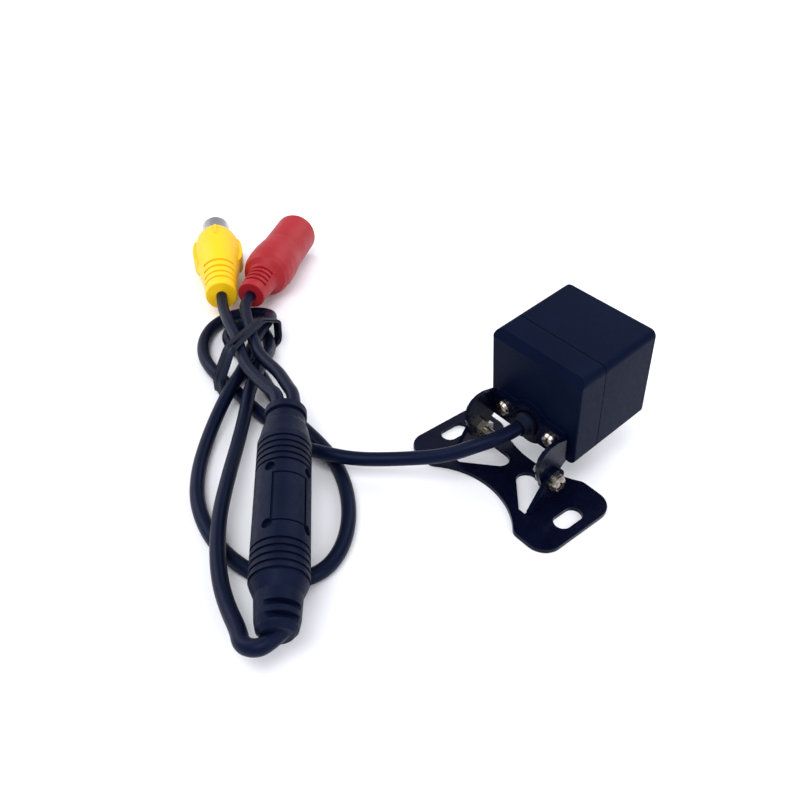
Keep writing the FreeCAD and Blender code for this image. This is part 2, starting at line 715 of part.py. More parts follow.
def module_parts():
    """The moulding lies along local Z, with its face on the local X side."""
    neck = cell("neck_radius")
    radius = cell("module_radius")
    length = cell("module_length")
    body = lathe(
        "module_body_turned",
        [
            (0, 3.1), (neck, 3.1), (neck, 4.6), (f"{neck} + 0.6", 6.2), (f"{radius} - 0.4", 8.6),
            (radius, 10.4), (radius, 43.9), (f"{radius} - 0.4", 45.0), (f"{neck} + 0.2", 46.9),
            (f"{neck} - 0.1", 51.6), (f"{neck} - 0.5", f"{length} - 0.9"),
            (f"{neck} - 1.3", length), (0, length),
        ],
    )
    tools = []
    for start in (11.8, 37.4):
        for number in range(5):
            tools.append(
                ring(
                    f"rib_{int(start)}_{number}", f"{radius} + 1", f"{radius} - 0.4", 0.6,
                    (0, 0, start + 1.6 * number), "z",
                )
            )
    for number, start in enumerate((49.4, 51.7)):
        for side, place in (("a", 2.7), ("b", -5.7)):
            tools.append(box(f"relief_{number}{side}", 3, 8, 1.2, (place, -4, start)))
    for at in (20.2, 34.2):
        for side, angle in (("a", 44), ("b", -44)):
            dimple = rod(f"dimple_{int(at)}{side}", 1.1, 3, (0, 0, 0), "x")
            doc.recompute()
            turned = doc.addObject("Part::Compound", f"dimple_{int(at)}{side}_placed")
            turned.Links = [dimple]
            turned.Placement = Placement(Vector(0, 0, at), Rotation(Vector(0, 0, 1), angle)).multiply(
                Placement(Vector(4.75, 0, 0), Rotation())
            )
            tools.append(turned)
    groove = common(
        "panel_groove",
        ring("panel_band", f"{radius} + 1", f"{radius} - 0.35", 12.0, (0, 0, 21.9), "z"),
        cut(
            "panel_frame",
            box("panel_outer", 8, 7.0, 12.0, (0, -3.5, 21.9)),
            box("panel_inner", 8, 6.2, 11.2, (0, -3.1, 22.3)),
        ),
    )
    tools.append(groove)
    tools.append(rod("module_room", cell("module_bore"), 34, (0, 0, 10.6)))
    tools.append(rod("module_mouth", 3.0, 8, (0, 0, 3.0)))
    finish("module_body", cut("module_body_cut", body, fuse("module_tools", tools)), MODULE)

    collar = lathe(
        "module_collar_turned",
        [
            (0, 0), (f"{neck} - 0.4", 0), (f"{neck} + 0.3", 0.5), (f"{neck} + 0.3", 2.2),
            (f"{neck} - 0.5", 2.3), (f"{neck} - 0.5", 3.05), (2.9, 3.05), (2.9, 7.0), (0, 7.0),
        ],
    )
    finish("module_collar", collar, MODULE)
    inside = [
        ("filter_board", 1.0, 7.4, 31.0, -0.5, 0, 12.0),
        ("regulator_chip", 1.0, 4.0, 5.0, 0.55, 0, 18.0),
    ]
    for label, width, depth, height, x, y, start in inside:
        finish(label, box(label + "_box", width, depth, height, (x, y - depth / 2, start)), MODULE)
    finish("filter_capacitor", rod("capacitor_can", 1.7, 6.0, (2.25, 0, 26.0)), MODULE)
    core = ring("coil_core", 1.9, 0.7, 7.0, (-2.4, 0, 20.0), "z")
    finish("filter_coil", core, MODULE)


# ---------------------------------------------------------------- plugs


def strain_grooves(name, starts, radii, half_width):
    """Curved slots over the top and bottom of a plug's tail, which stop short of its sides."""
    grooves = []
    for number, (start, radius) in enumerate(zip(starts, radii)):
        band = ring(f"{name}_band_{number}", 8, radius - 0.5, 0.9, (0, 0, start), "z")
        width = box(f"{name}_span_{number}", 16, 2 * half_width, 0.9, (-8, -half_width, start))
        grooves.append(common(f"{name}_groove_{number}", band, width))
    return grooves


def rca_parts():
    """Yellow moulding with a metal phono socket at its far end."""
    length = cell("rca_length")
    boot = lathe(
        "rca_boot_turned",
        [
            (0, 0), (4.1, 0), (4.3, 0.3), (4.7, 7.0), (5.3, 11.0), (6.1, 16.0), (6.6, 20.5),
            (6.6, 26.5), (6.1, 30.0), (5.2, 32.4), (4.6, 33.5), (4.45, length), (0, length),
        ],
    )
    wing = prism(
        "rca_wing", "YZ_Plane",
        [("-6.0", 15.6), ("6.0", 15.6), ("6.7", 17.2), ("7.1", 19.6), ("7.2", 22.6), ("7.0", 25.6),
         ("6.5", 28.2), ("-6.5", 28.2), ("-7.0", 25.6), ("-7.2", 22.6), ("-7.1", 19.6), ("-6.7", 17.2)],
        4.4, "-2.2",
    )
    ridge = box("rca_ridge", 6.8, 0.8, 5.2, (0, -0.4, 24.6))
    gripped = fuse("rca_gripped", [boot, wing, ridge])
    tools = strain_grooves("rca", (2.9, 5.5, 8.1, 10.7), (4.4, 4.55, 4.8, 5.15), 4.1)
    tools.append(rod("rca_socket_bore", f"{cell('shell_radius')} - 0.25", 12, (0, 0, f"{length} - 11.9")))
    finish("rca_boot", cut("rca_boot_cut", gripped, fuse("rca_tools", tools)), RCA)
    shell = lathe(
        "rca_sleeve",
        [
            (3.55, f"{length} - 11.8"), (f"{cell('shell_radius')} - 0.25", f"{length} - 11.8"),
            (f"{cell('shell_radius')} - 0.25", length), (cell("shell_radius"), length),
            (cell("shell_radius"), f"{length} + {cell('shell_proud')}"),
            (3.55, f"{length} + {cell('shell_proud')}"),
        ],
    )
    finish("rca_shell", shell, RCA)
    insulator = lathe(
        "rca_insulator_turned",
        [
            (1.7, f"{length} - 11.8"), (3.55, f"{length} - 11.8"),
            (3.55, f"{length} + {cell('shell_proud')} - 0.6"),
            (1.7, f"{length} + {cell('shell_proud')} - 0.6"),
        ],
    )
    finish("rca_insulator", insulator, RCA)
    contact = ring(
        "rca_contact_tube", 1.7, 1.25, f"{cell('shell_proud')} + 10.8", (0, 0, f"{length} - 11.8"), "z",
    )
    finish("rca_contact", contact, RCA)


def dc_parts():
    """Red moulding with a power socket: a sleeve round a centre pin."""
    length = cell("dc_length")
    barrel = cell("dc_radius")
    boot = lathe(
        "dc_boot_turned",
        [
            (0, 0), (3.6, 0), (3.8, 0.3), (4.3, 9.6), (4.7, 10.2), (6.1, 11.3), (6.7, 13.2),
            (6.95, 16.4), (6.9, 20.0), (6.55, 23.6), (barrel, 26.0), (barrel, f"{length} - 0.9"),
            (f"{barrel} - 0.3", f"{length} - 0.2"), (f"{barrel} - 0.8", length), (0, length),
        ],
    )
    tools = strain_grooves("dc", (2.6, 4.5, 6.4, 8.3), (3.94, 4.03, 4.13, 4.23), 3.4)
    tools.append(rod("dc_socket_room", 4.6, 15, (0, 0, f"{length} - 14.9")))
    finish("dc_boot", cut("dc_boot_cut", boot, fuse("dc_tools", tools)), DC)
    insert = lathe(
        "dc_insert_turned",
        [
            (1.05, f"{length} - 14.8"), (4.55, f"{length} - 14.8"), (4.55, f"{length} - 0.4"),
            (f"{cell('dc_bore')} + 0.3", f"{length} - 0.4"), (f"{cell('dc_bore')} + 0.3", f"{length} - 11.5"),
            (1.05, f"{length} - 11.5"),
        ],
    )
    finish("dc_insulator", insert, DC)
    sleeve = ring(
        "dc_sleeve_tube", f"{cell('dc_bore')} + 0.28", cell("dc_bore"), 10.6, (0, 0, f"{length} - 11.4"), "z",
    )
    finish("dc_sleeve", sleeve, DC)
    pin = rod("dc_pin_rod", 1.0, 12.6, (0, 0, f"{length} - 14.8"))
    finish(
        "dc_pin",
        soften("dc_pin_round", pin, 0.4, lambda e: e.Closed and middle(e).z > size("dc_length") - 3), DC,
    )


# ---------------------------------------------------------------- cords


def cord_wire(points, name):
    """Straight runs joined by tangent arcs, each as large as its two runs allow."""
    edges = []
    radii = []
    start = points[0]
    for before, corner, after in zip(points, points[1:], points[2:]):
        arriving = (corner - before).normalize()
        leaving = (after - corner).normalize()
        turn = arriving.getAngle(leaving)
        reach = 0.45 * min((corner - before).Length, (after - corner).Length)
        radii.append(reach / math.tan(turn / 2))
        first = corner - arriving * reach
        last = corner + leaving * reach
        inward = (leaving - arriving).normalize()
        depth = radii[-1] * (1 / math.cos(turn / 2) - 1)
        edges.append(Part.LineSegment(start, first).toShape())
        edges.append(Part.Arc(first, corner + inward * depth, last).toShape())
        start = last
    edges.append(Part.LineSegment(start, points[-1]).toShape())
    print(
        f"{name}: arc radii {min(radii):.1f} to {max(radii):.1f} mm, route {sum(e.Length for e in edges):.0f} mm",
    )
    print("   ", " ".join(f"{value:.1f}" for value in radii))
    return Part.Wire(edges)


def cord_tube(points, radius, name):
    """A round tube along a cord's route."""
    wire = cord_wire(points, name)
    start = points[0]
    section = Part.Wire([Part.makeCircle(radius, start, points[1] - start)])
    solid = wire.makePipeShell([section], True, True)
    expected = math.pi * radius**2 * wire.Length
    print(f"    volume {solid.Volume:.0f} mm3, section times length {expected:.0f} mm3")
    return solid


def keep_shape(label, shape):
    item = doc.addObject("Part::Feature", label + "_solid")
    item.Shape = shape
    return finish(label, item)


def in_case(y, z):
    """A point in the middle plane of the tilted case."""
    return CASE.multVec(Vector(0, y, z))


def camera_cord_route():
    """From the boards, over the plate, to a three-loop bundle and into the moulding's tail."""
    loose = [
        (2.6, 8.0, 12.0), (6.6, 13.4, 8.9), (13.6, 19.3, 6.2), (20.6, 27.2, 5.4),
        (27.2, 31.8, 5.2), (34.5, 32.8, 2.4), (43.0, 32.6, 1.8), (52.0, 33.6, 1.8),
        (61.0, 33.7, 2.3), (70.0, 34.3, 2.4), (78.5, 32.9, 1.9), (85.6, 29.0, 1.8),
        (90.4, 23.0, 1.8), (91.6, 15.8, 1.7), (88.2, 9.6, 1.7), (82.4, 9.0, 3.4),
        (77.9, 13.0, 6.0), (74.4, 18.6, 5.8), (68.6, 24.4, 5.7), (63.0, 30.2, 5.7),
        (58.8, 36.2, 5.6), (54.4, 42.6, 3.4), (49.0, 48.8, 1.8), (42.4, 54.4, 1.8),
        (35.0, 59.0, 1.8), (26.6, 61.6, 1.8), (18.0, 62.0, 1.8), (9.8, 60.0, 1.7),
        (4.2, 55.6, 1.7), (2.4, 49.2, 1.7), (4.9, 42.8, 1.7), (10.4, 36.8, 1.7),
        (17.8, 32.0, 1.7), (26.2, 28.9, 1.7), (35.2, 28.0, 1.7), (44.4, 28.2, 1.7),
        (53.6, 27.4, 1.7), (61.8, 25.2, 1.9), (69.8, 24.6, 2.4), (76.8, 25.0, 2.4),
        (82.2, 23.8, 2.4), (85.0, 20.4, 2.4), (84.2, 16.2, 2.4), (80.2, 14.0, 2.4),
        (75.0, 15.2, 2.4), (69.8, 18.0, 2.7), (65.2, 22.0, 4.9), (60.8, 27.2, 5.7),
        (55.6, 32.8, 5.7), (49.8, 37.6, 4.5), (42.9, 43.6, 4.1), (33.9, 51.3, 5.2),
        (25.1, 58.7, 5.4), (17.6, 63.6, 5.3), (10.6, 67.1, 5.1), (4.3, 69.1, 5.3),
        (-1.5, 70.3, 6.1), (-4.7, 71.6, 6.8), (-7.1, 70.8, 7.5), (-8.4, 68.7, 8.0),
    ]
    tail = [MODULE_TAIL + Vector(0.47, -2.25, 0.15)]
    return (
        [in_case(-9.0, size("gland_rise")), in_case(1.2, size("gland_rise"))]
        + [Vector(*point) for point in loose]
        + tail
    )


def lead_start(offset):
    """Where a lead leaves the collar's end face, beside the moulding's axis."""
    axis = (MODULE_TAIL - MODULE_TOP).normalize()
    across = Vector(0, 0, 1).cross(axis).normalize() * -1
    return MODULE_TOP + across * offset


def cords():
    pivot = rod("joint_zone", cell("joint_reach"), 60, (-30, cell("pivot_y"), cell("pivot_rise")), "x")
    clear = rod(
        "joint_zone_clear", f"{cell('joint_reach')} + 0.3", 60,
        (-30, cell("pivot_y"), cell("pivot_rise")), "x",
    )
    doc.recompute()
    tube = cord_tube(camera_cord_route(), size("cord_radius"), "camera cord")
    stub = [s for s in tube.common(pivot.Shape).Solids]
    run = [s for s in tube.cut(clear.Shape).Solids]
    keep_shape("camera_cord_stub", max(stub, key=lambda s: s.Volume))
    keep_shape("camera_cord", max(run, key=lambda s: s.Volume))

    axis = (MODULE_TAIL - MODULE_TOP).normalize()
    rca_axis = (RCA_FAR - RCA_NEAR).normalize()
    dc_axis = (DC_FAR - DC_NEAR).normalize()
    video = [lead_start(1.75), lead_start(1.75) - axis * 5.0]
    video += [Vector(*p) for p in (
        (46.2, 32.9, 12.0), (52.8, 31.9, 10.4), (59.4, 30.8, 9.3), (65.4, 28.8, 9.2),
        (71.4, 26.4, 9.2), (77.8, 24.6, 8.8), (83.8, 22.4, 8.0))]
    video += [RCA_NEAR - rca_axis * 5.5, RCA_NEAR]
    keep_shape("video_lead", cord_tube(video, size("lead_radius"), "video lead"))
    power = [lead_start(-1.75), lead_start(-1.75) - axis * 5.0]
    power += [Vector(*p) for p in (
        (44.6, 28.9, 12.0), (51.2, 26.9, 10.8), (57.8, 26.2, 9.7), (63.6, 25.2, 9.2),
        (69.2, 23.0, 9.2), (74.8, 20.8, 9.1), (80.4, 18.2, 8.6))]
    power += [DC_NEAR - dc_axis * 5.0, DC_NEAR]
    keep_shape("power_lead", cord_tube(power, size("lead_radius"), "power lead"))


def grown(corners, distance):
    """An anticlockwise outline moved outwards by a distance."""
    moved = []
    for before, corner, after in zip(corners[-1:] + corners[:-1], corners, corners[1:] + corners[:1]):
        arriving = Vector(corner[0] - before[0], corner[1] - before[1], 0).normalize()
        leaving = Vector(after[0] - corner[0], after[1] - corner[1], 0).normalize()
        outward = Vector(arriving.y + leaving.y, -arriving.x - leaving.x, 0).normalize()
        reach = distance / outward.dot(Vector(arriving.y, -arriving.x, 0))
        moved.append((corner[0] + outward.x * reach, corner[1] + outward.y * reach))
    return moved


def cable_tie():
    """A flat strap round the bundle, wrapped twice; its outline is seen along the bundle."""
    inside = [(0.8, 0.6), (27.8, 0.6), (27.8, 6.4), (20.5, 10.9), (6.4, 10.9), (0.8, 5.2)]
    outside = grown(inside, size("tie_thick"))
    wraps = []
    places = ((Vector(63.5, 37.5, 0), -63), (Vector(65.5, 37.5, 0), -66))
    for number, (start, heading) in enumerate(places):
        band = cut(
            f"tie_band_{number}",
            prism(f"tie_outer_{number}", "XZ_Plane", outside, cell("tie_width")),
            prism(f"tie_inner_{number}", "XZ_Plane", inside, cell("tie_width")),
        )
        doc.recompute()
        band.Placement = Placement(start, Rotation(Vector(0, 0, 1), heading))
        wraps.append(band)
    finish("cable_tie", fuse("tie_wraps", wraps))


# ---------------------------------------------------------------- the whole object

front_shell()
rear_cover()
case_seal()
lens_parts()
electronics()
cable_gland()
yoke_bracket()
web_screws()
base_bracket()
pivot_hardware()
module_parts()
rca_parts()
dc_parts()
cords()
cable_tie()
doc.recompute()

failed = [item.Label for item in doc.Objects if "Invalid" in item.State or "Error" in item.State]
if failed:
    raise RuntimeError(f"failed: {failed}")
for item in finished:
    if item.Shape.isNull() or not item.Shape.isValid() or not item.Shape.Solids:
        raise RuntimeError(f"{item.Label} has no valid solid")

os.makedirs("parts", exist_ok=True)
for item in finished:
    item.Shape.exportStep(f"parts/{item.Label}.step")
    count = len(item.Shape.Solids)
    print(f"{item.Label}: {count} solid{'s' if count > 1 else ''}, {item.Shape.Volume:.1f} mm3")
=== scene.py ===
"""Backup camera on a tilting bracket, with a bundled cord, an in-line moulding and two plug leads.

The scene is in metres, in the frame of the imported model: the middle of the plate's underside is
the origin, the lens looks towards -Y and the plate lies on the floor. The cords' points and the
tie's sizes are written in millimetres and scaled by MM where they are used.
"""
import json
import math

import bmesh
import bpy
from mathutils import Matrix, Vector


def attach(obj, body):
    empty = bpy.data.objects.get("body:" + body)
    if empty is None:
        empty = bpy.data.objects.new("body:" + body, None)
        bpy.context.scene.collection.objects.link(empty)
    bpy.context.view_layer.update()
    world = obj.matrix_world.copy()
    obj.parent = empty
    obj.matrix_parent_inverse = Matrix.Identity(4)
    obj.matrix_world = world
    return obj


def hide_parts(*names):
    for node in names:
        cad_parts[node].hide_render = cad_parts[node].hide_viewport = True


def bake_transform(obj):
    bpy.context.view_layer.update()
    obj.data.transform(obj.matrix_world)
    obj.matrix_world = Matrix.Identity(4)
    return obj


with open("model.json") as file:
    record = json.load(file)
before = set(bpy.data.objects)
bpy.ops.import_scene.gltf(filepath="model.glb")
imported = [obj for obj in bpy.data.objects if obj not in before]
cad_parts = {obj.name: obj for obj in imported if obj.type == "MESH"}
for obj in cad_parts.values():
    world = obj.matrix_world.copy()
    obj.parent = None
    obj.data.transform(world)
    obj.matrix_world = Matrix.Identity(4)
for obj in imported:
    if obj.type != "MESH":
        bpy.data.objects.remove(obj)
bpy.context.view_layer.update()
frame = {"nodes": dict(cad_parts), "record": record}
nodes = frame["nodes"]
MM = 0.001
CORD_RADIUS = 1.6 * MM
LEAD_RADIUS = 1.5 * MM
NAVY_SHEEN = (0.42, 0.55, 1.0, 1)
WHITE_SHEEN = (1, 1, 1, 1)

# ---------------------------------------------------------------- node material helpers


def material(name):
    """A new material with its tree and its shader."""
    made = bpy.data.materials.new(name)
    made.use_nodes = True
    tree = made.node_tree
    shader = tree.nodes["Principled BSDF"]
    return made, tree, shader


def noise(tree, scale, detail=4.0, roughness=0.5, stretch=(1, 1, 1)):
    """Noise over the object's own coordinates, in metres."""
    coordinates = tree.nodes.new("ShaderNodeTexCoord")
    mapping = tree.nodes.new("ShaderNodeMapping")
    mapping.inputs["Scale"].default_value = stretch
    texture = tree.nodes.new("ShaderNodeTexNoise")
    texture.inputs["Scale"].default_value = scale
    texture.inputs["Detail"].default_value = detail
    texture.inputs["Roughness"].default_value = roughness
    tree.links.new(coordinates.outputs["Object"], mapping.inputs["Vector"])
    tree.links.new(mapping.outputs["Vector"], texture.inputs["Vector"])
    return texture.outputs["Fac"]


def voronoi(tree, scale):
    """Cell distance over the object's own coordinates, in metres."""
    coordinates = tree.nodes.new("ShaderNodeTexCoord")
    texture = tree.nodes.new("ShaderNodeTexVoronoi")
    texture.inputs["Scale"].default_value = scale
    tree.links.new(coordinates.outputs["Object"], texture.inputs["Vector"])
    return texture.outputs["Distance"]


def ramp(tree, factor, low, high, start=0.3, end=0.7):
    """Two colours or greys spread over a factor."""
    node = tree.nodes.new("ShaderNodeValToRGB")
    node.color_ramp.elements[0].position = start
    node.color_ramp.elements[1].position = end
    node.color_ramp.elements[0].color = (*low, 1)
    node.color_ramp.elements[1].color = (*high, 1)
    tree.links.new(factor, node.inputs["Fac"])
    return node.outputs["Color"]


def spread(tree, factor, low, high):
    """A number that runs from low to high with the factor."""
    node = tree.nodes.new("ShaderNodeMapRange")
    node.inputs["From Min"].default_value = 0.3
    node.inputs["From Max"].default_value = 0.7
    node.inputs["To Min"].default_value = low
    node.inputs["To Max"].default_value = high
    tree.links.new(factor, node.inputs["Value"])
    return node.outputs["Result"]


def bump(tree, shader, height, distance, strength=1.0, under=None):
    """Relief of a real depth, in metres."""
    node = tree.nodes.new("ShaderNodeBump")
    node.inputs["Strength"].default_value = strength
    node.inputs["Distance"].default_value = distance
    tree.links.new(height, node.inputs["Height"])
    if under is not None:
        tree.links.new(under, node.inputs["Normal"])
    tree.links.new(node.outputs["Normal"], shader.inputs["Normal"])
    return node.outputs["Normal"]


def plastic(name, dark, light, rough, grain, depth, specular=0.5, blotch=60, sheen=WHITE_SHEEN):
    """Moulded plastic: slow colour drift, uneven gloss and a fine grain."""
    made, tree, shader = material(name)
    drift = noise(tree, blotch, 3)
    tree.links.new(ramp(tree, drift, dark, light), shader.inputs["Base Color"])
    tree.links.new(spread(tree, noise(tree, blotch * 6, 5), *rough), shader.inputs["Roughness"])
    shader.inputs["Specular IOR Level"].default_value = specular
    shader.inputs["Specular Tint"].default_value = sheen
    bump(tree, shader, noise(tree, grain, 3, 0.6), depth)
    return made


def metal(name, dark, light, rough, scratch, stretch=(1, 1, 1)):
    """Metal with faint uneven polish."""
    made, tree, shader = material(name)
    tree.links.new(ramp(tree, noise(tree, 220, 4), dark, light), shader.inputs["Base Color"])
    polish = noise(tree, scratch, 6, 0.65, stretch)
    tree.links.new(spread(tree, polish, *rough), shader.inputs["Roughness"])
    shader.inputs["Metallic"].default_value = 1.0
    bump(tree, shader, polish, 0.006 * MM)
    return made


# ---------------------------------------------------------------- materials


def case_material():
    """Matte charcoal with a spark-eroded grain."""
    made, tree, shader = material("case_grain")
    drift = noise(tree, 90, 4)
    tree.links.new(
        ramp(tree, drift, (0.0012, 0.0034, 0.0145), (0.0018, 0.0048, 0.0185)),
        shader.inputs["Base Color"],
    )
    tree.links.new(spread(tree, noise(tree, 900, 3), 0.47, 0.54), shader.inputs["Roughness"])
    shader.inputs["Specular IOR Level"].default_value = 0.05
    shader.inputs["Specular Tint"].default_value = NAVY_SHEEN
    fine = bump(tree, shader, noise(tree, 5200, 2, 0.7), 0.03 * MM)
    bump(tree, shader, voronoi(tree, 2600), 0.012 * MM, 0.7, fine)
    return made


def enamel_material():
    """Gloss black enamel over pressed sheet, with a faint orange peel."""
    made, tree, shader = material("black_enamel")
    tree.links.new(
        ramp(tree, noise(tree, 120, 3), (0.001, 0.0018, 0.009), (0.002, 0.003, 0.013)),
        shader.inputs["Base Color"],
    )
    tree.links.new(spread(tree, noise(tree, 500, 5), 0.2, 0.32), shader.inputs["Roughness"])
    shader.inputs["Specular IOR Level"].default_value = 0.09
    shader.inputs["Specular Tint"].default_value = NAVY_SHEEN
    shader.inputs["Coat Weight"].default_value = 0.1
    shader.inputs["Coat Roughness"].default_value = 0.12
    bump(tree, shader, noise(tree, 650, 2, 0.4), 0.012 * MM)
    return made


def glass_material(name, tint):
    """Clear glass, darkened by what is behind it."""
    made, tree, shader = material(name)
    tree.links.new(ramp(tree, noise(tree, 40, 2), tint, tuple(min(1, c * 1.05) for c in tint)),
                   shader.inputs["Base Color"])
    shader.inputs["Roughness"].default_value = 0.02
    shader.inputs["Transmission Weight"].default_value = 0.95
    shader.inputs["IOR"].default_value = 1.5
    return made


def coated_lens_material():
    """Dark coated glass, with a violet to green sheen that drifts over it."""
    made, tree, shader = material("coated_glass")
    tree.links.new(ramp(tree, noise(tree, 120, 2), (0.003, 0.002, 0.012), (0.002, 0.008, 0.01)),
                   shader.inputs["Base Color"])
    shader.inputs["Roughness"].default_value = 0.03
    shader.inputs["Specular Tint"].default_value = (0.55, 0.5, 1.0, 1)
    return made


def board_material():
    """Green solder mask with copper tracks just showing."""
    made, tree, shader = material("solder_mask")
    tracks = voronoi(tree, 900)
    tree.links.new(ramp(tree, tracks, (0.02, 0.13, 0.045), (0.008, 0.07, 0.022), 0.2, 0.5),
                   shader.inputs["Base Color"])
    shader.inputs["Roughness"].default_value = 0.28
    bump(tree, shader, tracks, 0.02 * MM)
    return made


MATERIALS = {
    "case": case_material(),
    "seal": plastic(
        "silicone", (0.001, 0.0015, 0.005), (0.002, 0.003, 0.008), (0.5, 0.62), 1500, 0.01 * MM,
        specular=0.25, sheen=NAVY_SHEEN,
    ),
    "bezel": plastic(
        "bezel_satin", (0.001, 0.002, 0.007), (0.002, 0.003, 0.011), (0.3, 0.4), 2200, 0.006 * MM,
        specular=0.2, sheen=NAVY_SHEEN,
    ),
    "glass": glass_material("cover_glass_clear", (0.9, 0.93, 0.95)),
    "barrel": plastic(
        "lens_black", (0.006, 0.006, 0.007), (0.012, 0.012, 0.013), (0.5, 0.7), 2600, 0.01 * MM,
        specular=0.3,
    ),
    "lens": coated_lens_material(),
    "filter_glass": glass_material("infrared_filter", (0.85, 0.45, 0.5)),
    "sensor": plastic(
        "sensor_die", (0.03, 0.035, 0.045), (0.07, 0.05, 0.08), (0.12, 0.2), 900, 0.002 * MM,
    ),
    "board": board_material(),
    "connector": plastic(
        "ivory_nylon", (0.7, 0.67, 0.56), (0.8, 0.77, 0.66), (0.4, 0.5), 1500, 0.006 * MM,
    ),
    "chip": plastic(
        "black_epoxy", (0.015, 0.015, 0.016), (0.03, 0.03, 0.032), (0.5, 0.65), 2500, 0.01 * MM,
    ),
    "painted_steel": enamel_material(),
    "screw": metal("nickel_satin", (0.3, 0.27, 0.23), (0.42, 0.38, 0.34), (0.2, 0.34), 1600),
    "moulding": plastic(
        "moulded_vinyl", (0.002, 0.0038, 0.014), (0.0036, 0.006, 0.019), (0.42, 0.54), 1500,
        0.07 * MM, specular=0.11, blotch=120, sheen=NAVY_SHEEN,
    ),
    "cord": plastic(
        "vinyl_jacket", (0.0012, 0.0028, 0.0125), (0.002, 0.0042, 0.017), (0.36, 0.46), 1500,
        0.012 * MM, specular=0.15, blotch=90, sheen=NAVY_SHEEN,
    ),
    "can": metal(
        "aluminium_can", (0.6, 0.6, 0.62), (0.75, 0.75, 0.77), (0.2, 0.32), 900, stretch=(1, 1, 20),
    ),
    "ferrite": plastic(
        "ferrite_grey", (0.05, 0.05, 0.055), (0.08, 0.08, 0.085), (0.5, 0.65), 2600, 0.01 * MM,
    ),
    "yellow": plastic(
        "yellow_vinyl", (0.84, 0.5, 0.003), (0.92, 0.57, 0.006), (0.4, 0.52), 1700, 0.03 * MM,
        specular=0.28,
    ),
    "red": plastic(
        "red_vinyl", (0.3, 0.008, 0.014), (0.36, 0.012, 0.02), (0.4, 0.52), 1700, 0.03 * MM,
        specular=0.24,
    ),
    "plated": metal(
        "nickel_bright", (0.42, 0.42, 0.42), (0.52, 0.52, 0.52), (0.26, 0.36), 900, stretch=(1, 1, 14),
    ),
    "insulator": plastic(
        "insulator_black", (0.015, 0.015, 0.015), (0.03, 0.03, 0.03), (0.4, 0.5), 1800, 0.006 * MM,
    ),
    "tie": plastic(
        "tie_ribbon", (0.001, 0.0015, 0.005), (0.002, 0.003, 0.008), (0.4, 0.5), 900, 0.01 * MM,
        specular=0.28, sheen=NAVY_SHEEN,
    ),
}


def dress(obj, slot_name):
    """Give a piece its slot's material."""
    obj.data.materials.clear()
    obj.data.materials.append(MATERIALS[slot_name])


def dress_cad():
    """Every CAD node gets the material of its own slot."""
    slots = {part["node"]: part["material_slot"] for part in frame["record"]["subparts"]}
    for name, obj in nodes.items():
        dress(obj, slots[name])


# ---------------------------------------------------------------- the camera and light

PHOTO_AZIMUTH = math.radians(228.56)
PHOTO_ELEVATION = math.radians(39.28)
PHOTO_ROLL = math.radians(2.33)
PHOTO_PLACE = Vector((-80.9, 104.8, 127.0)) * MM
PHOTO_LENS = 36.03
PHOTO_SENSOR = 36.0


def photo_camera():
    """A camera where the photographer stood."""
    a, e, r = PHOTO_AZIMUTH, PHOTO_ELEVATION, PHOTO_ROLL
    back = Vector((math.sin(a) * math.cos(e), -math.cos(a) * math.cos(e), math.sin(e)))
    level = Vector((0, 0, 1)).cross(back).normalized()
    upward = back.cross(level)
    right = level * math.cos(r) + upward * math.sin(r)
    above = upward * math.cos(r) - level * math.sin(r)
    data = bpy.data.cameras.new("photo_camera")
    data.lens = PHOTO_LENS
    data.sensor_width = PHOTO_SENSOR
    data.clip_start = 0.005
    obj = bpy.data.objects.new("photo_camera", data)
    obj.matrix_world = Matrix.Translation(PHOTO_PLACE) @ Matrix((right, above, back)).transposed().to_4x4()
    bpy.context.scene.collection.objects.link(obj)
    bpy.context.scene.camera = obj


def floor_material():
    """Matte white paper, very slightly uneven."""
    made, tree, shader = material("paper_floor")
    paper = ramp(tree, noise(tree, 8, 3), (0.86, 0.86, 0.9), (0.9, 0.9, 0.935))
    tree.links.new(paper, shader.inputs["Base Color"])
    shader.inputs["Roughness"].default_value = 0.85
    shader.inputs["Specular IOR Level"].default_value = 0.2
    return made


def floor():
    """The sheet of paper that everything lies on."""
    bpy.ops.mesh.primitive_plane_add(size=4, location=(0, 0, -0.02 * MM))
    obj = bpy.context.object
    obj.name = "floor"
    obj.data.materials.append(floor_material())


def lamp(name, place, target, width, watts):
    """A square area lamp that faces its target."""
    data = bpy.data.lights.new(name, "AREA")
    data.size = width
    data.energy = watts
    obj = bpy.data.objects.new(name, data)
    obj.location = place
    aim = Vector(target) - Vector(place)
    obj.rotation_euler = aim.to_track_quat("-Z", "Y").to_euler()
    bpy.context.scene.collection.objects.link(obj)


def light():
    """A pale world and four soft lamps."""
    world = bpy.data.worlds.new("soft_world")
    world.use_nodes = True
    world.node_tree.nodes["Background"].inputs["Color"].default_value = (0.93, 0.94, 1.0, 1)
    world.node_tree.nodes["Background"].inputs["Strength"].default_value = 0.6
    bpy.context.scene.world = world
    bpy.context.scene.view_settings.view_transform = "Standard"
    lamp("key", (-0.15, 0.35, 0.75), (0.03, 0.02, 0), 0.5, 4.4)
    lamp("left_fill", (0.6, 0.25, 0.4), (0.03, 0.02, 0), 0.5, 2.2)
    lamp("right_fill", (-0.6, -0.1, 0.35), (0, 0, 0), 0.4, 1.5)
    lamp("front_fill", (0.1, -0.6, 0.5), (0.03, 0.02, 0), 0.6, 2.2)


# ---------------------------------------------------------------- cords

